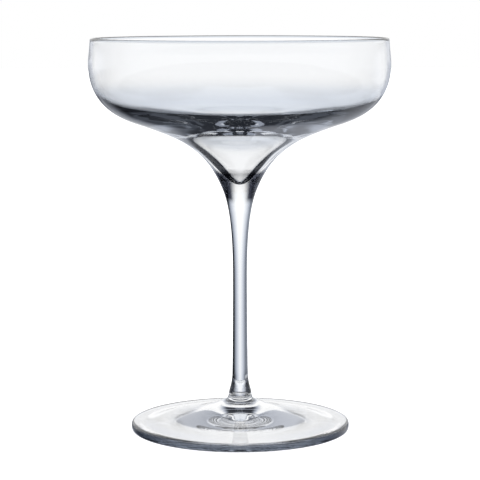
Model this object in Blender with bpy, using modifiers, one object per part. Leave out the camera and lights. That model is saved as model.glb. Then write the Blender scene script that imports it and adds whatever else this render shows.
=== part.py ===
# A stemmed champagne coupe of clear glass: a wide shallow bowl, a drawn stem and a round foot.
# The three are separate gathers of glass, welded hot at two flat circular faces.
# Metres, +Z up. The origin is on the table, on the axis that everything is turned around.

import math

import bpy
from mathutils import Vector
from mathutils.geometry import interpolate_bezier

# Overall sizes
GLASS_HEIGHT = 0.147
BOWL_RADIUS = 0.0560
FOOT_RADIUS = 0.0411

# Bowl, outside: heights are given as drops below the rim.
# A lean is a profile's direction in degrees from straight down, positive towards the axis.
RIM_INSET = 0.0007
RIM_LEAN = -3.0
BELLY_DROP = 0.0095
SHOULDER_RADIUS = 0.0370
SHOULDER_DROP = 0.0320
SHOULDER_LEAN = 71.0

# Bowl, inside: wall thicknesses, and the narrow well that runs down towards the stem
RIM_WALL = 0.0011
BELLY_WALL = 0.00125
SHOULDER_WALL = 0.0033
SHOULDER_INNER_LEAN = 80.0
THROAT_RADIUS = 0.0087
THROAT_DROP = 0.0437
THROAT_LEAN = 40.0
WELL_DEPTH = 0.0531
WELL_FLOOR = 0.0034

# Weld between bowl and stem
NECK_RADIUS = 0.00625
NECK_LEAN = 21.5

# Stem: the waist's height is above the table, the ankle's rise is above the foot's weld
WAIST_RADIUS = 0.00267
WAIST_HEIGHT = 0.0532
ANKLE_RADIUS = 0.0030
ANKLE_RISE = 0.0060
ANKLE_LEAN = -3.0

# Weld between stem and foot
FOOT_WELD_RADIUS = 0.0041
FOOT_WELD_HEIGHT = 0.0143
FOOT_WELD_LEAN = -12.0

# Foot: drops are below its weld. The collar stands on a narrow ledge, where the top begins to fall.
COLLAR_RADIUS = 0.0050
COLLAR_DROP = 0.0032
COLLAR_LEAN = -30.0
LEDGE_RADIUS = 0.0066
LEDGE_DROP = 0.0035
TOP_LEAN = -62.0
EDGE_THICKNESS = 0.0032
EDGE_ROUND = 0.0014
EDGE_LEAN = -87.0
REST_WIDTH = 0.0025
HOLLOW_HEIGHT = 0.0029

# Space left between the faces of two welded pieces
WELD_GAP = 0.0003

# How far a curve's two handles reach, as shares of its chord
RIM_PULLS = (0.50, 0.25)
BELLY_PULLS = (0.58, 0.17)
UNDERSIDE_PULLS = (0.41, 0.42)
INNER_BELLY_PULLS = (0.57, 0.33)
INNER_UNDERSIDE_PULLS = (0.52, 0.28)
WELL_PULLS = (0.64, 0.17)
UPPER_STEM_PULLS = (0.28, 0.27)
LOWER_STEM_PULLS = (0.17, 0.10)
ANKLE_PULLS = (0.50, 0.25)
COLLAR_PULLS = (0.40, 0.30)
FOOT_TOP_PULLS = (0.25, 0.40)
EDGE_PULLS = (0.55, 0.55)
HOLLOW_PULLS = (0.10, 0.50)

# Points along short, middling and long curves, and facets around each piece
SHORT_CURVE = 5
MIDDLE_CURVE = 8
LONG_CURVE = 10
BOWL_STEPS = 56
STEM_STEPS = 32
FOOT_STEPS = 56
MERGE_DISTANCE = 0.00005

STRAIGHT_DOWN = 0.0
LEVEL_INWARDS = 90.0

GLASS_COLOUR = (0.93, 0.95, 0.97, 1.0)
GLASS_ROUGHNESS = 0.02
GLASS_METALLIC = 0.0
GLASS_IOR = 1.52
GLASS_TRANSMISSION = 1.0


def direction(lean):
    angle = math.radians(lean)
    return Vector((-math.sin(angle), -math.cos(angle)))


def sweep(start, start_lean, end, end_lean, pulls, count):
    """Points of a smooth curve that leaves start and reaches end at the two leans."""
    start = Vector(start)
    end = Vector(end)
    chord = (end - start).length
    first_handle = start + direction(start_lean) * chord * pulls[0]
    last_handle = end - direction(end_lean) * chord * pulls[1]
    return interpolate_bezier(start, first_handle, last_handle, end, count)


def round_lip(centre, radius, count):
    """Points over the top of the rim, from its inner side to its outer side."""
    angles = [math.pi * (1 - index / (count - 1)) for index in range(count)]
    return [Vector((centre[0] + radius * math.cos(a), centre[1] + radius * math.sin(a))) for a in angles]


def chain(*runs):
    """Join runs of points, leaving out the point that two neighbours share."""
    points = list(runs[0])
    for run in runs[1:]:
        points.extend(run[1:])
    return points


def neck_height():
    return GLASS_HEIGHT - WELL_DEPTH - WELL_FLOOR


def bowl_profile():
    rim_radius = BOWL_RADIUS - RIM_INSET
    lip_radius = RIM_WALL / 2
    lip_height = GLASS_HEIGHT - lip_radius
    belly_height = GLASS_HEIGHT - BELLY_DROP
    across_wall = direction(SHOULDER_LEAN + LEVEL_INWARDS)

    rim = (rim_radius, lip_height)
    belly = (BOWL_RADIUS, belly_height)
    shoulder = Vector((SHOULDER_RADIUS, GLASS_HEIGHT - SHOULDER_DROP))
    neck = (NECK_RADIUS, neck_height())

    inner_rim = (rim_radius - RIM_WALL, lip_height)
    inner_belly = (BOWL_RADIUS - BELLY_WALL, belly_height)
    inner_shoulder = shoulder + across_wall * SHOULDER_WALL
    throat = (THROAT_RADIUS, GLASS_HEIGHT - THROAT_DROP)
    well_tip = (0.0, GLASS_HEIGHT - WELL_DEPTH)

    inside = chain(
        sweep(inner_rim, RIM_LEAN, inner_belly, STRAIGHT_DOWN, RIM_PULLS, SHORT_CURVE),
        sweep(inner_belly, STRAIGHT_DOWN, inner_shoulder, SHOULDER_INNER_LEAN, INNER_BELLY_PULLS, LONG_CURVE),
        sweep(inner_shoulder, SHOULDER_INNER_LEAN, throat, THROAT_LEAN, INNER_UNDERSIDE_PULLS, MIDDLE_CURVE),
        sweep(throat, THROAT_LEAN, well_tip, LEVEL_INWARDS, WELL_PULLS, MIDDLE_CURVE),
    )
    lip = round_lip((rim_radius - lip_radius, lip_height), lip_radius, SHORT_CURVE)
    outside = chain(
        sweep(rim, RIM_LEAN, belly, STRAIGHT_DOWN, RIM_PULLS, SHORT_CURVE),
        sweep(belly, STRAIGHT_DOWN, shoulder, SHOULDER_LEAN, BELLY_PULLS, LONG_CURVE),
        sweep(shoulder, SHOULDER_LEAN, neck, NECK_LEAN, UNDERSIDE_PULLS, LONG_CURVE),
    )
    weld_face = [neck, (0.0, neck_height())]
    return chain(inside[::-1], lip, outside, weld_face)


def stem_profile():
    top = neck_height() - WELD_GAP
    bottom = FOOT_WELD_HEIGHT + WELD_GAP
    neck = (NECK_RADIUS, top)
    waist = (WAIST_RADIUS, WAIST_HEIGHT)
    ankle = (ANKLE_RADIUS, FOOT_WELD_HEIGHT + ANKLE_RISE)
    foot_weld = (FOOT_WELD_RADIUS, bottom)
    return chain(
        [(0.0, top), neck],
        sweep(neck, NECK_LEAN, waist, STRAIGHT_DOWN, UPPER_STEM_PULLS, LONG_CURVE),
        sweep(waist, STRAIGHT_DOWN, ankle, ANKLE_LEAN, LOWER_STEM_PULLS, SHORT_CURVE),
        sweep(ankle, ANKLE_LEAN, foot_weld, FOOT_WELD_LEAN, ANKLE_PULLS, SHORT_CURVE),
        [foot_weld, (0.0, bottom)],
    )


def foot_profile():
    edge_in = FOOT_RADIUS - EDGE_ROUND
    weld = (FOOT_WELD_RADIUS, FOOT_WELD_HEIGHT)
    collar = (COLLAR_RADIUS, FOOT_WELD_HEIGHT - COLLAR_DROP)
    ledge = (LEDGE_RADIUS, FOOT_WELD_HEIGHT - LEDGE_DROP)
    edge_top = (edge_in, EDGE_THICKNESS)
    edge_nose = (FOOT_RADIUS, EDGE_THICKNESS / 2)
    rest_outer = (edge_in, 0.0)
    rest_inner = (edge_in - REST_WIDTH, 0.0)
    hollow_top = (0.0, HOLLOW_HEIGHT)
    return chain(
        [(0.0, FOOT_WELD_HEIGHT), weld],
        sweep(weld, FOOT_WELD_LEAN, collar, COLLAR_LEAN, COLLAR_PULLS, SHORT_CURVE),
        [collar, ledge],
        sweep(ledge, TOP_LEAN, edge_top, EDGE_LEAN, FOOT_TOP_PULLS, MIDDLE_CURVE),
        sweep(edge_top, EDGE_LEAN, edge_nose, STRAIGHT_DOWN, EDGE_PULLS, SHORT_CURVE),
        sweep(edge_nose, STRAIGHT_DOWN, rest_outer, LEVEL_INWARDS, EDGE_PULLS, SHORT_CURVE),
        [rest_outer, rest_inner],
        sweep(rest_inner, LEVEL_INWARDS, hollow_top, LEVEL_INWARDS, HOLLOW_PULLS, MIDDLE_CURVE),
    )


def glass_material(name):
    material = bpy.data.materials.new(name)
    material.use_nodes = True
    shader = material.node_tree.nodes["Principled BSDF"]
    shader.inputs["Base Color"].default_value = GLASS_COLOUR
    shader.inputs["Roughness"].default_value = GLASS_ROUGHNESS
    shader.inputs["Metallic"].default_value = GLASS_METALLIC
    shader.inputs["IOR"].default_value = GLASS_IOR
    shader.inputs["Transmission Weight"].default_value = GLASS_TRANSMISSION
    return material


def turned_piece(name, profile, steps, collection):
    """One closed glass piece, turned around Z from a profile that starts and ends on the axis."""
    mesh = bpy.data.meshes.new(name)
    corners = [(radius, 0.0, height) for radius, height in profile]
    edges = [(index, index + 1) for index in range(len(corners) - 1)]
    mesh.from_pydata(corners, edges, [])
    mesh.materials.append(glass_material(name + "_glass"))
    piece = bpy.data.objects.new(name, mesh)
    collection.objects.link(piece)
    lathe = piece.modifiers.new("Lathe", "SCREW")
    lathe.axis = "Z"
    lathe.angle = math.tau
    lathe.steps = steps
    lathe.render_steps = steps
    lathe.use_merge_vertices = True
    lathe.merge_threshold = MERGE_DISTANCE
    lathe.use_smooth_shade = True
    return piece


def main():
    for leftover in list(bpy.data.objects):
        bpy.data.objects.remove(leftover, do_unlink=True)
    coupe = bpy.data.collections.new("champagne_coupe")
    bpy.context.scene.collection.children.link(coupe)
    turned_piece("bowl", bowl_profile(), BOWL_STEPS, coupe)
    turned_piece("stem", stem_profile(), STEM_STEPS, coupe)
    turned_piece("foot", foot_profile(), FOOT_STEPS, coupe)


main()
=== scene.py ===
# Clear champagne coupe: bowl, stem and foot turned from drawn outlines, on a white studio floor
import math
from types import SimpleNamespace

import bpy
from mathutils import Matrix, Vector
from mathutils.geometry import interpolate_bezier


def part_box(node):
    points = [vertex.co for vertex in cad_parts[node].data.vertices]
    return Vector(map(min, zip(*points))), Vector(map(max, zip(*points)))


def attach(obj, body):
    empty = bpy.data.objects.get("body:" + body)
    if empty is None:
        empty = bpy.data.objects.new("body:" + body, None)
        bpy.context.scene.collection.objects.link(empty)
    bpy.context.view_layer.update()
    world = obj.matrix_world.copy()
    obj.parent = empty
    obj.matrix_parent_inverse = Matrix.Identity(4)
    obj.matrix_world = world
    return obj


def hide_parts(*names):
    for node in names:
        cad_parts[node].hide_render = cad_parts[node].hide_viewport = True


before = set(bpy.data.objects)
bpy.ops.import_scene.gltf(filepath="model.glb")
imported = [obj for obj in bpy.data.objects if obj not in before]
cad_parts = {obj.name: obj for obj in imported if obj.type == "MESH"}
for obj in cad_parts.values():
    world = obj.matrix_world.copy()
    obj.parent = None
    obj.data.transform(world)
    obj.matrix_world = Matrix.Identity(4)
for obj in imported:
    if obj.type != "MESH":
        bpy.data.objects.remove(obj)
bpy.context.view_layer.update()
print("frame loaded with", sorted(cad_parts))

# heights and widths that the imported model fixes
bowlLow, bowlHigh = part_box("bowl")
stemLow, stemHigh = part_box("stem")
footLow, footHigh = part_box("foot")
glassTop = bowlHigh.z
neckHeight = (bowlLow.z + stemHigh.z) / 2  # the hot welds lie midway in the model's two gaps
ankleHeight = (stemLow.z + footHigh.z) / 2
straightDown = 0.0
levelInwards = 90.0
turnSteps = 192
weldDistance = 0.000001
sharpAngle = math.radians(50)


# outlines: a lean is a direction in degrees from straight down, positive towards the axis
def leanTo(lean):
    angle = math.radians(lean)
    return Vector((-math.sin(angle), -math.cos(angle)))


def bend(start, startLean, end, endLean, pulls, count):
    start, end = Vector(start), Vector(end)
    chord = (end - start).length
    firstHandle = start + leanTo(startLean) * chord * pulls[0]
    lastHandle = end - leanTo(endLean) * chord * pulls[1]
    return interpolate_bezier(start, firstHandle, lastHandle, end, count)


def lipArc(centre, radius, count):
    angles = [math.pi * (1 - i / (count - 1)) for i in range(count)]
    return [Vector((centre[0] + radius * math.cos(a), centre[1] + radius * math.sin(a))) for a in angles]


def joinRuns(*runs):
    points = [Vector(p) for p in runs[0]]
    for run in runs[1:]:
        points += [Vector(p) for p in run if (Vector(p) - points[-1]).length > weldDistance]
    return points


# bowl: drops are below the rim, walls are glass thicknesses
bowlShape = {
    "rimInset": 0.0007, "rimLean": -3.0, "rimWall": 0.0011, "rimPulls": (0.50, 0.25),
    "bellyDrop": 0.0095, "bellyWall": 0.00125, "bellyPulls": (0.58, 0.17), "innerBellyPulls": (0.57, 0.33),
    "shoulderRadius": 0.0370, "shoulderDrop": 0.0320, "shoulderLean": 71.0,
    "shoulderWall": 0.0033, "innerShoulderLean": 80.0,
    "undersidePulls": (0.41, 0.42), "innerUndersidePulls": (0.52, 0.28),
    "throatRadius": 0.0087, "throatDrop": 0.0437, "throatLean": 40.0,
    "wellDepth": 0.0531, "wellPulls": (0.64, 0.17),
    "neckLean": 21.5,
    "lipPoints": 13, "shortCurve": 14, "longCurve": 48,
}


def bowlOutline(s):
    rimRadius = bowlHigh.x - s["rimInset"]
    lip = s["rimWall"] / 2
    lipHeight = glassTop - lip
    bellyHeight = glassTop - s["bellyDrop"]
    rim, belly = (rimRadius, lipHeight), (bowlHigh.x, bellyHeight)
    shoulder = Vector((s["shoulderRadius"], glassTop - s["shoulderDrop"]))
    neck = (stemHigh.x, neckHeight)
    innerRim = (rimRadius - s["rimWall"], lipHeight)
    innerBelly = (bowlHigh.x - s["bellyWall"], bellyHeight)
    innerShoulder = shoulder + leanTo(s["shoulderLean"] + levelInwards) * s["shoulderWall"]
    throat = (s["throatRadius"], glassTop - s["throatDrop"])
    wellTip = (0.0, glassTop - s["wellDepth"])
    floorLean = s["innerShoulderLean"]
    inside = joinRuns(
        bend(innerRim, s["rimLean"], innerBelly, straightDown, s["rimPulls"], s["shortCurve"]),
        bend(innerBelly, straightDown, innerShoulder, floorLean, s["innerBellyPulls"], s["longCurve"]),
        bend(innerShoulder, floorLean, throat, s["throatLean"], s["innerUndersidePulls"], s["longCurve"]),
        bend(throat, s["throatLean"], wellTip, levelInwards, s["wellPulls"], s["longCurve"]),
    )
    outside = joinRuns(
        bend(rim, s["rimLean"], belly, straightDown, s["rimPulls"], s["shortCurve"]),
        bend(belly, straightDown, shoulder, s["shoulderLean"], s["bellyPulls"], s["longCurve"]),
        bend(shoulder, s["shoulderLean"], neck, s["neckLean"], s["undersidePulls"], s["longCurve"]),
    )
    overLip = lipArc((rimRadius - lip, lipHeight), lip, s["lipPoints"])
    return joinRuns(inside[::-1], overLip, outside, [neck, (0.0, neckHeight)])


# stem: heights are above the floor, the ankle's rise is above the lower weld
stemShape = {
    "neckLean": 21.5, "upperPulls": (0.28, 0.27),
    "waistRadius": 0.00267, "waistHeight": 0.0532, "lowerPulls": (0.17, 0.10),
    "ankleRadius": 0.0030, "ankleRise": 0.0060, "ankleLean": -3.0, "anklePulls": (0.50, 0.25),
    "weldRadius": 0.0041, "weldLean": -12.0,
    "shortCurve": 24, "longCurve": 60,
}


def stemOutline(s):
    neck = (stemHigh.x, neckHeight)
    waist = (s["waistRadius"], s["waistHeight"])
    ankle = (s["ankleRadius"], footHigh.z + s["ankleRise"])
    weld = (s["weldRadius"], ankleHeight)
    return joinRuns(
        [(0.0, neckHeight), neck],
        bend(neck, s["neckLean"], waist, straightDown, s["upperPulls"], s["longCurve"]),
        bend(waist, straightDown, ankle, s["ankleLean"], s["lowerPulls"], s["shortCurve"]),
        bend(ankle, s["ankleLean"], weld, s["weldLean"], s["anklePulls"], s["shortCurve"]),
        [weld, (0.0, ankleHeight)],
    )


# foot: a collar on a narrow ledge, a gently domed top, a round edge and a shallow hollow below
footShape = {
    "weldRadius": 0.0041, "weldLean": -12.0,
    "collarRadius": 0.0050, "collarDrop": 0.0032, "collarLean": -30.0, "collarPulls": (0.40, 0.30),
    "ledgeRadius": 0.0066, "ledgeDrop": 0.0035, "topLean": -62.0, "topPulls": (0.25, 0.40),
    "edgeThickness": 0.0032, "edgeRound": 0.0014, "edgeLean": -87.0, "edgePulls": (0.55, 0.55),
    "restWidth": 0.0025, "hollowHeight": 0.0029, "hollowPulls": (0.10, 0.50),
    "shortCurve": 20, "longCurve": 60,
}


def footOutline(s):
    edgeIn = footHigh.x - s["edgeRound"]
    weld = (s["weldRadius"], ankleHeight)
    collar = (s["collarRadius"], footHigh.z - s["collarDrop"])
    ledge = (s["ledgeRadius"], footHigh.z - s["ledgeDrop"])
    edgeTop = (edgeIn, s["edgeThickness"])
    edgeNose = (footHigh.x, s["edgeThickness"] / 2)
    restOuter = (edgeIn, footLow.z)
    restInner = (edgeIn - s["restWidth"], footLow.z)
    hollowTop = (0.0, s["hollowHeight"])
    return joinRuns(
        [(0.0, ankleHeight), weld],
        bend(weld, s["weldLean"], collar, s["collarLean"], s["collarPulls"], s["shortCurve"]),
        [collar, ledge],
        bend(ledge, s["topLean"], edgeTop, s["edgeLean"], s["topPulls"], s["longCurve"]),
        bend(edgeTop, s["edgeLean"], edgeNose, straightDown, s["edgePulls"], s["shortCurve"]),
        bend(edgeNose, straightDown, restOuter, levelInwards, s["edgePulls"], s["shortCurve"]),
        [restOuter, restInner],
        bend(restInner, levelInwards, hollowTop, levelInwards, s["hollowPulls"], s["longCurve"]),
    )


# turning: one point is drawn out along the outline, then spun round the axis
def turnPiece(name, outline):
    bpy.ops.object.select_all(action="DESELECT")
    bpy.ops.mesh.primitive_plane_add(size=stemHigh.x)
    piece = bpy.context.object
    piece.name = name
    piece.data.name = name
    bpy.ops.object.mode_set(mode="EDIT")
    bpy.ops.mesh.select_mode(type="VERT")
    bpy.ops.mesh.select_all(action="SELECT")
    bpy.ops.mesh.merge(type="CENTER")
    bpy.ops.transform.translate(value=(outline[0].x, 0.0, outline[0].y))
    for here, there in zip(outline, outline[1:]):
        step = there - here
        bpy.ops.mesh.extrude_vertices_move(TRANSFORM_OT_translate={"value": (step.x, 0.0, step.y)})
    bpy.ops.mesh.select_all(action="SELECT")
    bpy.ops.mesh.spin(steps=turnSteps, angle=math.tau, center=(0.0, 0.0, 0.0), axis=(0.0, 0.0, 1.0))
    bpy.ops.mesh.select_all(action="SELECT")
    bpy.ops.mesh.remove_doubles(threshold=weldDistance)
    bpy.ops.mesh.normals_make_consistent(inside=False)
    bpy.ops.object.mode_set(mode="OBJECT")
    bpy.ops.object.shade_smooth_by_angle(angle=sharpAngle)
    return piece


# the flat faces where two gathers are fused show nothing, so light runs straight through them
def clearWelds(piece, weldHeights):
    bpy.ops.object.mode_set(mode="EDIT")
    bpy.ops.mesh.select_mode(type="FACE")
    bpy.ops.mesh.select_all(action="DESELECT")
    bpy.ops.object.mode_set(mode="OBJECT")
    for face in piece.data.polygons:
        face.select = any(abs(face.center.z - height) < weldDistance for height in weldHeights)
    bpy.ops.object.mode_set(mode="EDIT")
    piece.active_material_index = 1
    bpy.ops.object.material_slot_assign()
    bpy.ops.object.mode_set(mode="OBJECT")


# node arithmetic for the glass and the studio: each call adds nodes and hands back their output
def shaderMaths(tree):
    def plug(value, socket):
        if isinstance(value, (int, float)):
            socket.default_value = value
        else:
            tree.links.new(value, socket)

    def calc(operation, first, second=0.0):
        node = tree.nodes.new("ShaderNodeMath")
        node.operation = operation
        plug(first, node.inputs[0])
        plug(second, node.inputs[1])
        return node.outputs[0]

    def times(first, *others):
        for other in others:
            first = calc("MULTIPLY", first, other)
        return first

    def most(first, *others):
        for other in others:
            first = calc("MAXIMUM", first, other)
        return first

    def slide(value, span, low=0.0, high=1.0, kind="LINEAR"):
        node = tree.nodes.new("ShaderNodeMapRange")
        node.interpolation_type = kind
        plug(value, node.inputs["Value"])
        plug(span[0], node.inputs["From Min"])
        plug(span[1], node.inputs["From Max"])
        plug(low, node.inputs["To Min"])
        plug(high, node.inputs["To Max"])
        return node.outputs["Result"]

    def ease(value, span, low=0.0, high=1.0):
        return slide(value, span, low, high, "SMOOTHSTEP")

    def between(value, start, end):
        return times(ease(value, start), ease(value, end, 1.0, 0.0))

    def blend(share, first, second):
        node = tree.nodes.new("ShaderNodeMix")
        node.data_type = "FLOAT"
        plug(share, node.inputs["Factor"])
        plug(first, node.inputs["A"])
        plug(second, node.inputs["B"])
        return node.outputs["Result"]

    return SimpleNamespace(plug=plug, calc=calc, times=times, most=most, slide=slide, ease=ease,
                           between=between, blend=blend)


# finish shared by the three pieces: slow ripples of the fire-polished skin
def makeFireFinish():
    group = bpy.data.node_groups.new("fireFinish", "ShaderNodeTree")
    face = group.interface
    face.new_socket("Position", in_out="INPUT", socket_type="NodeSocketVector")
    face.new_socket("Ripples", in_out="INPUT", socket_type="NodeSocketFloat")
    face.new_socket("Height", in_out="OUTPUT", socket_type="NodeSocketFloat")
    nodes, link = group.nodes, group.links.new
    given, put = nodes.new("NodeGroupInput"), nodes.new("NodeGroupOutput")
    ripple = nodes.new("ShaderNodeTexNoise")
    ripple.inputs["Detail"].default_value = 1.0
    link(given.outputs["Position"], ripple.inputs["Vector"])
    link(given.outputs["Ripples"], ripple.inputs["Scale"])
    link(ripple.outputs["Fac"], put.inputs["Height"])
    return group


def makeGlass(name, finish, g):
    glass = bpy.data.materials.new(name)
    glass.use_nodes = True
    nodes, link = glass.node_tree.nodes, glass.node_tree.links.new
    m = shaderMaths(glass.node_tree)
    shader = nodes["Principled BSDF"]
    shader.inputs["IOR"].default_value = g["ior"]
    shader.inputs["Roughness"].default_value = g["roughness"]
    shader.inputs["Transmission Weight"].default_value = 1.0
    shader.inputs["Metallic"].default_value = 0.0
    place = nodes.new("ShaderNodeTexCoord")
    skin = nodes.new("ShaderNodeGroup")
    skin.node_tree = finish
    skin.inputs["Ripples"].default_value = g["ripples"]
    link(place.outputs["Object"], skin.inputs["Position"])
    bump = nodes.new("ShaderNodeBump")
    bump.inputs["Strength"].default_value = 1.0
    bump.inputs["Distance"].default_value = g["rippleDepth"]
    link(skin.outputs["Height"], bump.inputs["Height"])
    link(bump.outputs["Normal"], shader.inputs["Normal"])

    def mixInShade(under, over, share):
        node = nodes.new("ShaderNodeMix")
        node.data_type = "RGBA"
        if isinstance(under, tuple):
            node.inputs["A"].default_value = under
        else:
            link(under, node.inputs["A"])
        node.inputs["B"].default_value = over
        link(share, node.inputs["Factor"])
        return node.outputs["Result"]

    # painted shade: the glass colour darkens where it is seen edge on, and darkens most in painted bands of
    # shade at the thick rims and joints, on faces where light enters
    facing = nodes.new("ShaderNodeLayerWeight")
    facing.inputs["Blend"].default_value = 0.5
    turnedAway = facing.outputs["Facing"]
    axes = nodes.new("ShaderNodeSeparateXYZ")
    link(place.outputs["Object"], axes.inputs[0])
    x, y, z = axes.outputs
    radiusSquared = m.calc("ADD", m.times(x, x), m.times(y, y))
    entering = m.calc("SUBTRACT", 1.0, nodes.new("ShaderNodeNewGeometry").outputs["Backfacing"])
    colour = mixInShade(g["clear"], g["edge"], m.ease(turnedAway, g["edgeShadeSpan"]))
    # each band of painted shade darkens the glass colour on faces where light enters
    for deep in g["paintedShades"]:
        zone = m.times(m.between(z, deep["low"], deep["high"]), entering)
        if "turned" in deep:
            zone = m.times(zone, m.ease(turnedAway, deep["turned"]))
        if "radius" in deep:
            inner, outer = deep["radius"]
            zone = m.times(zone, m.ease(radiusSquared, (inner * inner, outer * outer)))
        colour = mixInShade(colour, deep["colour"], zone)
    link(colour, shader.inputs["Base Color"])
    return glass


def makeWeldClear():
    clear = bpy.data.materials.new("weldClear")
    clear.use_nodes = True
    clear.node_tree.nodes["Principled BSDF"].inputs["Alpha"].default_value = 0.0
    return clear


# a zone of painted shade fades in and out over two spans of height, counted from a height that the model
# fixes
def paintedShadeZone(base, low, high, colour, **limits):
    return {"low": [base + rise for rise in low], "high": [base + rise for rise in high],
            "colour": (*colour, 1.0), **limits}


# painted shade bands: each darkens the glass colour between two heights, some only where the glass is seen
# edge on or near the foot's outer rim
lipShade = paintedShadeZone(glassTop, (-0.0011, -0.0007), (0.0030, 0.0040), (0.60, 0.64, 0.70))
shoulderShade = paintedShadeZone(glassTop, (-0.0390, -0.0330), (-0.0215, -0.0150), (0.74, 0.785, 0.855))
neckShade = paintedShadeZone(neckHeight, (-0.00535, -0.00235), (0.00665, 0.00885), (0.01, 0.011, 0.016),
                    turned=(0.06, 0.27), radius=(0.0040, 0.0047))
ankleShade = paintedShadeZone(ankleHeight, (-0.00035, -0.00015), (0.00405, 0.00905), (0.04, 0.045, 0.06),
                     turned=(0.03, 0.25))
seamShade = paintedShadeZone(ankleHeight, (-0.00030, -0.00015), (0.00005, 0.00025), (0.03, 0.033, 0.045))
collarShade = paintedShadeZone(ankleHeight, (-0.00125, -0.00085), (0.00055, 0.00075), (0.05, 0.055, 0.07),
                      turned=(0.10, 0.40))
ledgeShade = paintedShadeZone(ankleHeight, (-0.00405, -0.00385), (-0.00335, -0.00315), (0.60, 0.63, 0.69))
rimShade = paintedShadeZone(footLow.z, (-0.0010, -0.0005), (0.0026, 0.0030), (0.08, 0.10, 0.14),
                   radius=(footHigh.x - 0.0007, footHigh.x - 0.0001))
rimEdgeOnShade = paintedShadeZone(footLow.z, (-0.0010, -0.0005), (0.0026, 0.0030), (0.03, 0.035, 0.055),
                     radius=(footHigh.x - 0.0011, footHigh.x - 0.0005), turned=(0.35, 0.80))
# the edge colours and the band lists of each piece are painted shade: they darken the glass where it is seen
# edge on and at its rims and joints
glassLook = {
    "bowl": {"ior": 1.5, "roughness": 0.0, "ripples": 45.0, "rippleDepth": 0.00004,
             "clear": (0.990, 0.995, 1.0, 1.0), "edge": (0.30, 0.34, 0.42, 1.0), "edgeShadeSpan": (0.78, 1.0),
             "paintedShades": [lipShade, shoulderShade, neckShade]},
    "stem": {"ior": 1.5, "roughness": 0.0, "ripples": 60.0, "rippleDepth": 0.0,
             "clear": (0.950, 0.972, 1.0, 1.0), "edge": (0.30, 0.34, 0.42, 1.0), "edgeShadeSpan": (0.60, 1.0),
             "paintedShades": [neckShade, ankleShade, seamShade]},
    "foot": {"ior": 1.5, "roughness": 0.0, "ripples": 50.0, "rippleDepth": 0.00001,
             "clear": (0.990, 0.995, 1.0, 1.0), "edge": (0.30, 0.34, 0.42, 1.0), "edgeShadeSpan": (0.93, 1.0),
             "paintedShades": [seamShade, collarShade, ledgeShade, rimShade, rimEdgeOnShade]},
}
fireFinish = makeFireFinish()
weldClear = makeWeldClear()
turnedPieces = [
    ("bowl", bowlOutline(bowlShape), [neckHeight]),
    ("stem", stemOutline(stemShape), [neckHeight, ankleHeight]),
    ("foot", footOutline(footShape), [ankleHeight]),
]
for node, outline, weldHeights in turnedPieces:
    piece = turnPiece(node + "_glass", outline)
    piece.data.materials.append(makeGlass(node + "Glass", fireFinish, glassLook[node]))
    piece.data.materials.append(weldClear)
    clearWelds(piece, weldHeights)
    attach(piece, "root")
    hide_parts(node)
    print("turned", piece.name, "with", len(piece.data.polygons), "faces")


# floor: plain white, seen by the camera and not through the glass, which looks into the studio instead
floorLook = {"radius": 4.0, "sides": 96, "drop": 0.0003, "colour": (0.80, 0.80, 0.80, 1.0),
             "glowColour": (1.0, 1.0, 1.0, 1.0), "glow": 0.75}
bpy.ops.object.select_all(action="DESELECT")
bpy.ops.mesh.primitive_circle_add(vertices=floorLook["sides"], radius=floorLook["radius"], fill_type="NGON",
                                  location=(0.0, 0.0, -floorLook["drop"]))
floor = bpy.context.object
floor.name = "studioFloor"
floorPaint = bpy.data.materials.new("floorWhite")
floorPaint.use_nodes = True
paint = floorPaint.node_tree.nodes["Principled BSDF"]
paint.inputs["Base Color"].default_value = floorLook["colour"]
paint.inputs["Roughness"].default_value = 1.0
paint.inputs["Specular IOR Level"].default_value = 0.0
paint.inputs["Emission Color"].default_value = floorLook["glowColour"]
paint.inputs["Emission Strength"].default_value = floorLook["glow"]
floor.data.materials.append(floorPaint)
floor.visible_transmission = False
floor.visible_glossy = False
print("floor laid")

# studio: a white wall, a softbox overhead, and narrow dark cards that draw the bowl's thin outlines.
# Angles are in degrees, sideways from the wall's middle and up from level, and a pair of them is a fade.
# The softbox's side and back are parts of a direction of length 1. Turns count how often the light was
# mirrored, faces count the surfaces that it went through.
studioLook = {
    "lean": (-15.0, 5.0), "narrowing": (12.0, 45.0), "narrowed": 0.5,
    "wallRise": (-10.0, -2.0), "wallLight": (0.98, 1.15),
    "ceiling": (38.0, 52.0), "ceilingLight": 0.06,
    "softboxLow": (42.0, 50.0), "softboxSide": (0.32, 0.46), "softboxBack": -0.6, "softboxLight": 0.9,
    "cardStart": (6.0, 10.0), "cardEnd": (26.0, 34.0), "cardLow": (-14.0, -10.0), "cardHigh": (-3.0, 2.0),
    "cardLeft": 0.25, "cardRight": 0.45,
    "anyTurn": 0.5, "oneTurn": 1.5, "twoTurns": 2.5, "anyFace": 0.5, "twoFaces": 2.5,
    "cool": [(0.0, (0.003, 0.0035, 0.006)), (0.25, (0.225, 0.245, 0.285)), (0.5, (0.46, 0.49, 0.56)),
             (0.9, (0.875, 0.895, 0.935)), (1.0, (1.0, 1.0, 1.0))],
}


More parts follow.
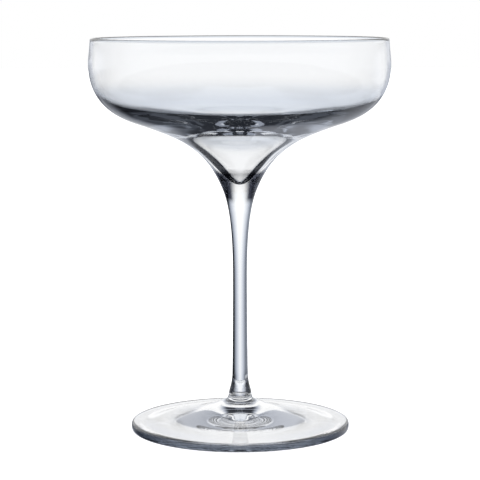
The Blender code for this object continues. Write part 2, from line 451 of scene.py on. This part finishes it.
# where a ray looks, what it has been through, and what all three kinds of light share
def studioRays(tree, m, s):
    place = tree.nodes.new("ShaderNodeTexCoord")
    axes = tree.nodes.new("ShaderNodeSeparateXYZ")
    tree.links.new(place.outputs["Generated"], axes.inputs[0])
    x, y, z = axes.outputs
    path = tree.nodes.new("ShaderNodeLightPath").outputs
    turns, faces = path["Glossy Depth"], path["Transmission Depth"]
    sideways = m.times(m.calc("ARCTAN2", x, y), math.degrees(1.0))
    upwards = m.times(m.calc("ARCSINE", z), math.degrees(1.0))
    offAxis = m.calc("ABSOLUTE", sideways)
    onLeft = m.calc("LESS_THAN", sideways, 0.0)
    once = m.calc("LESS_THAN", faces, s["twoFaces"])
    oneTurn = m.calc("LESS_THAN", turns, s["oneTurn"])
    narrow = m.slide(upwards, s["narrowing"], 1.0, s["narrowed"])
    wallLight = m.slide(upwards, s["wallRise"], *s["wallLight"])
    softbox = m.times(m.ease(upwards, s["softboxLow"], 0.0, s["softboxLight"]),
                      m.ease(m.calc("ABSOLUTE", x), s["softboxSide"], 1.0, 0.0),
                      m.calc("GREATER_THAN", y, s["softboxBack"]))
    cards = m.times(m.between(offAxis, s["cardStart"], s["cardEnd"]),
                    m.between(upwards, s["cardLow"], s["cardHigh"]))

    def wall(flat, reach):
        span = [m.times(m.slide(upwards, s["lean"], *end), narrow) for end in (flat, reach)]
        return m.times(m.slide(offAxis, span, 1.0, 0.0), wallLight)

    def around(middle, span):
        return m.ease(m.calc("ABSOLUTE", m.calc("SUBTRACT", sideways, middle)), span, 1.0, 0.0)

    return SimpleNamespace(
        sideways=sideways, upwards=upwards, offAxis=offAxis, onLeft=onLeft, turns=turns, faces=faces,
        once=once, twice=m.calc("GREATER_THAN", faces, s["twoFaces"]),
        oneTurn=oneTurn, single=m.times(once, oneTurn),
        several=m.calc("GREATER_THAN", turns, s["oneTurn"]),
        many=m.calc("GREATER_THAN", turns, s["twoTurns"]),
        plain=m.most(path["Is Camera Ray"], path["Is Diffuse Ray"]),
        ceiling=m.ease(upwards, s["ceiling"]), ceilingLight=s["ceilingLight"],
        overhead=m.most(softbox, s["ceilingLight"]),
        outlined=m.slide(cards, (0.0, 1.0), 1.0, m.blend(onLeft, s["cardRight"], s["cardLeft"])),
        wall=wall, around=around,
    )


# straight through, once by the stem and foot and twice by the bowl: the wall and a pale room around the back
straightLook = {
    "wallFlat": (0.0, 12.0), "wallReach": (36.0, 57.0), "dark": 0.008,
    "floorEdge": (-31.0, -25.0), "floorDark": 0.05,
    "leftEnd": (60.0, 75.0), "leftLight": 0.22,
    "bowlLean": (-42.0, -31.0), "bowlFlat": (4.0, 22.0), "bowlReach": (32.0, 75.0), "bowlLight": 1.05,
    "bowlLow": (-46.0, -33.0), "bowlDark": 0.9,
    "sideMiddle": -90.0, "sideRoom": (14.0, 20.0), "sideLow": (-15.0, -11.0),
    "backRoom": (102.0, 112.0), "backLow": (-32.0, -26.0),
    "tableMiddle": -45.0, "table": (14.0, 22.0), "tableLow": (-42.0, -38.0), "tableHigh": (-17.0, -14.0),
    "roomLight": 0.95,
}


def straightLight(m, ray, s):
    plainWall = m.times(m.calc("ADD", ray.wall(s["wallFlat"], s["wallReach"]), s["dark"]),
                        m.ease(ray.upwards, s["floorEdge"], s["floorDark"], 1.0))
    leftSide = m.times(ray.onLeft, m.ease(ray.offAxis, s["leftEnd"], s["leftLight"], 0.0))
    bowlSpan = [m.slide(ray.upwards, s["bowlLean"], *end) for end in (s["bowlFlat"], s["bowlReach"])]
    bowlWall = m.times(m.slide(ray.offAxis, bowlSpan, s["bowlLight"], 0.0),
                       m.ease(ray.upwards, s["bowlLow"], s["bowlDark"], 1.0))
    sideRoom = m.times(ray.around(s["sideMiddle"], s["sideRoom"]), m.ease(ray.upwards, s["sideLow"]))
    backRoom = m.times(m.ease(ray.offAxis, s["backRoom"]), m.ease(ray.upwards, s["backLow"]))
    table = m.times(ray.around(s["tableMiddle"], s["table"]),
                    m.between(ray.upwards, s["tableLow"], s["tableHigh"]))
    room = m.times(m.most(sideRoom, backRoom, table), s["roomLight"])
    level = m.most(m.blend(ray.twice, m.most(plainWall, leftSide), bowlWall), room)
    return m.blend(ray.ceiling, level, ray.overhead)


# mirrored inside, after one or two turns: the wall with a dark flag over it, and lights beside it
shallowLook = {
    "innerFlat": (4.0, 28.0), "innerReach": (30.0, 40.0),
    "flagSide": (10.0, 20.0), "flagLow": (14.0, 16.0), "flagLight": 0.03,
    "midFlagInner": (3.0, 5.0), "midFlagLeast": 0.85, "midFlagLow": (7.0, 9.0),
    "cornerStart": (6.0, 12.0), "cornerEnd": (34.0, 44.0),
    "cornerLow": (-44.0, -36.0), "cornerHigh": (-14.0, -9.0), "cornerLight": 0.95,
    "stripSide": (44.0, 62.0), "stripLow": (-13.0, -9.0), "stripHigh": (-1.5, 1.0), "stripLight": 0.75,
    "besideStart": (70.0, 80.0), "besideEnd": (165.0, 175.0), "besideLow": (-42.0, -34.0), "besideLight": 1.1,
    "bounceLow": (-30.0, -10.0), "bounceLight": 0.95,
}


def bounceLight(m, ray, s):
    return m.times(m.ease(ray.upwards, s["bounceLow"], 0.0, s["bounceLight"]), ray.twice)


def shallowLight(m, ray, s):
    midFlag = m.times(m.between(ray.upwards, s["midFlagLow"], s["flagLow"]),
                      m.ease(ray.offAxis, s["midFlagInner"], s["midFlagLeast"], 1.0))
    flag = m.times(m.most(m.ease(ray.upwards, s["flagLow"]), midFlag),
                   m.ease(ray.offAxis, s["flagSide"], 1.0, 0.0), ray.single)
    behind = m.times(ray.wall(s["innerFlat"], s["innerReach"]),
                     m.slide(flag, (0.0, 1.0), 1.0, s["flagLight"]),
                     m.blend(ray.single, 1.0, ray.outlined))
    corner = m.times(m.between(ray.sideways, s["cornerStart"], s["cornerEnd"]),
                     m.between(ray.upwards, s["cornerLow"], s["cornerHigh"]),
                     ray.single, s["cornerLight"])
    strip = m.times(m.ease(ray.offAxis, s["stripSide"], s["stripLight"], 0.0),
                    m.between(ray.upwards, s["stripLow"], s["stripHigh"]))
    beside = m.times(m.between(ray.offAxis, s["besideStart"], s["besideEnd"]),
                     m.ease(ray.upwards, s["besideLow"]), ray.once, ray.several, s["besideLight"])
    return m.most(behind, strip, beside, bounceLight(m, ray, s), corner)


# mirrored inside, after many turns: glows at both sides, a ring above and a white sheet far below.
# Light that is trapped in the bowl's floor and turns without end stays dark but for a few patches.
deepLook = {
    "wall": (4.0, 22.0),
    "rest": (32.0, 44.0), "restLight": 0.80, "restTurns": 9.5, "restLow": (-20.0, -15.0),
    "glowStart": (32.0, 40.0), "glowEnd": (108.0, 122.0), "glowLow": (-42.0, -34.0), "glowHigh": (26.0, 34.0),
    "glowLeft": 0.46, "glowRight": 0.40,
    "ringStart": (20.0, 26.0), "ringEnd": (44.0, 50.0), "ringLow": (26.0, 32.0), "ringHigh": (46.0, 50.0),
    "ringLight": 0.7,
    "fading": (6.5, 10.0), "faded": 0.12,
    "endless": 11.5,
    "patchStart": (34.0, 37.0), "patchEnd": (52.0, 60.0), "patchHigh": (35.0, 45.0), "patchLight": 0.09,
    "trapped": (8.0, 12.0), "trappedLow": (-34.0, -30.0), "trappedTurns": 5.5,
    "edgeStart": (25.0, 32.0), "edgeEnd": (52.0, 60.0), "edgeHigh": (20.0, 30.0), "edgeLight": 0.75,
    "floorLeft": (-14.0, -6.0), "floorRight": (-26.0, -18.0), "floorLight": 0.02,
    "sheet": (-66.0, -60.0), "sheetTurns": (6.5, 8.5), "sheetLight": 0.42,
    "dark": 0.02,
}


def insideLight(m, ray, shallow, s):
    endless = m.calc("GREATER_THAN", ray.turns, s["endless"])
    fade = m.blend(ray.twice, 1.0, m.slide(ray.turns, s["fading"], 1.0, s["faded"]))
    glow = m.times(m.blend(ray.onLeft, s["glowRight"], s["glowLeft"]),
                   m.between(ray.offAxis, s["glowStart"], s["glowEnd"]),
                   m.between(ray.upwards, s["glowLow"], s["glowHigh"]), ray.once)
    ring = m.times(m.between(ray.offAxis, s["ringStart"], s["ringEnd"]),
                   m.between(ray.upwards, s["ringLow"], s["ringHigh"]), ray.twice, s["ringLight"])
    rest = m.times(m.ease(ray.offAxis, s["rest"], s["restLight"], 0.0), ray.once,
                   m.calc("LESS_THAN", ray.turns, s["restTurns"]))
    deep = m.times(m.most(m.slide(ray.offAxis, s["wall"], 1.0, 0.0), rest, glow, ring), fade)
    patch = m.times(m.between(ray.offAxis, s["patchStart"], s["patchEnd"]),
                    m.ease(ray.upwards, s["patchHigh"], s["patchLight"], 0.0))
    trapped = m.times(m.ease(ray.offAxis, s["trapped"], 1.0, 0.0), ray.once)
    edge = m.times(m.between(ray.offAxis, s["edgeStart"], s["edgeEnd"]),
                   m.ease(ray.upwards, s["edgeHigh"], s["edgeLight"], 0.0), ray.twice, ray.onLeft)

    turned = m.blend(endless, m.blend(ray.many, shallowLight(m, ray, shallow), deep),
                     m.most(patch, trapped, edge))
    above = m.blend(endless, m.most(ray.overhead, m.times(ring, ray.many)), ray.ceilingLight)
    level = m.blend(ray.ceiling, m.most(turned, s["dark"]), above)

    sheet = m.times(m.ease(ray.upwards, s["sheet"], s["sheetLight"], 0.0), m.ease(ray.turns, s["sheetTurns"]))
    trappedLow = m.times(trapped, m.ease(ray.upwards, s["trappedLow"]),
                         m.calc("GREATER_THAN", ray.turns, s["trappedTurns"]))
    restLow = m.times(rest, m.ease(ray.upwards, s["restLow"]))
    lowGlow = m.blend(ray.many, bounceLight(m, ray, shallow),
                      m.most(m.blend(endless, m.most(glow, restLow), 0.0), trappedLow))
    below = m.most(m.times(m.calc("ADD", sheet, s["floorLight"]), fade), lowGlow)
    highFloor = m.most(ray.many, m.times(ray.onLeft, ray.oneTurn))
    aboveFloor = m.blend(highFloor, m.ease(ray.upwards, s["floorRight"]), m.ease(ray.upwards, s["floorLeft"]))
    return m.blend(aboveFloor, below, level)


# mirrored on the outer skin: the wall, wider on the right, and the room around the back
skinLook = {
    "lean": (-6.0, -2.0), "left": ((15.0, 40.0), (45.0, 90.0)), "right": ((40.0, 50.0), (80.0, 100.0)),
    "rise": (-18.0, -8.0), "risen": 0.6,
    "lowLeft": (-31.0, -21.0), "lowRight": (-48.0, -38.0), "floorLight": 0.06,
    "room": (60.0, 100.0), "roomLow": (-20.0, -8.0), "roomLight": 0.5,
}


def skinLight(m, ray, s):
    def side(ends, low):
        span = [m.slide(ray.upwards, s["lean"], *end) for end in ends]
        return m.times(m.slide(ray.offAxis, span, 1.0, 0.0), m.ease(ray.upwards, low, s["floorLight"], 1.0))

    wall = m.times(m.blend(ray.onLeft, side(s["right"], s["lowRight"]), side(s["left"], s["lowLeft"])),
                   m.slide(ray.upwards, s["rise"], s["risen"], 1.0))
    room = m.times(m.ease(ray.offAxis, s["room"], 0.0, s["roomLight"]), m.ease(ray.upwards, s["roomLow"]))
    return m.blend(ray.ceiling, m.times(m.most(wall, room), ray.outlined), ray.ceilingLight)


def makeStudio(s):
    world = bpy.data.worlds.new("studio")
    world.use_nodes = True
    tree = world.node_tree
    tree.nodes.clear()
    m = shaderMaths(tree)
    ray = studioRays(tree, m, s)
    mirrored = m.blend(m.calc("GREATER_THAN", ray.faces, s["anyFace"]),
                       skinLight(m, ray, skinLook), insideLight(m, ray, shallowLook, deepLook))
    light = m.blend(m.calc("GREATER_THAN", ray.turns, s["anyTurn"]),
                    straightLight(m, ray, straightLook), mirrored)
    seen = m.blend(ray.plain, light, 1.0)

    # darker light is cooler
    cool = tree.nodes.new("ShaderNodeValToRGB")
    stops = cool.color_ramp.elements
    for spot, colour in s["cool"][1:-1]:
        stops.new(spot)
    for stop, (spot, colour) in zip(stops, s["cool"]):
        stop.position = spot
        stop.color = (*colour, 1.0)
    m.plug(seen, cool.inputs["Fac"])
    sky = tree.nodes.new("ShaderNodeBackground")
    out = tree.nodes.new("ShaderNodeOutputWorld")
    m.plug(cool.outputs["Color"], sky.inputs["Color"])
    m.plug(m.most(seen, 1.0), sky.inputs["Strength"])
    m.plug(sky.outputs[0], out.inputs["Surface"])
    return world


bounces = {"all": 32, "through": 24, "mirrored": 24}
scene = bpy.context.scene
scene.world = makeStudio(studioLook)
scene.view_settings.view_transform = "Standard"
scene.cycles.max_bounces = bounces["all"]
scene.cycles.transmission_bounces = bounces["through"]
scene.cycles.glossy_bounces = bounces["mirrored"]
scene.cycles.blur_glossy = 0.0
print("studio lit")

# camera: fitted to the ellipses of rim and foot in the 480 pixel square picture
cameraPlace = {"x": 0.000185, "y": -0.6982, "z": 0.1595, "lookDown": 7.17, "roll": 0.1,
               "lens": 140.85, "sensor": 36.0}
lens = bpy.data.cameras.new("studioCamera")
lens.lens = cameraPlace["lens"]
lens.sensor_width = cameraPlace["sensor"]
camera = bpy.data.objects.new("studioCamera", lens)
camera.location = (cameraPlace["x"], cameraPlace["y"], cameraPlace["z"])
camera.rotation_euler = (math.radians(90.0 - cameraPlace["lookDown"]), math.radians(cameraPlace["roll"]), 0.0)
scene.collection.objects.link(camera)
scene.camera = camera
print("camera set")
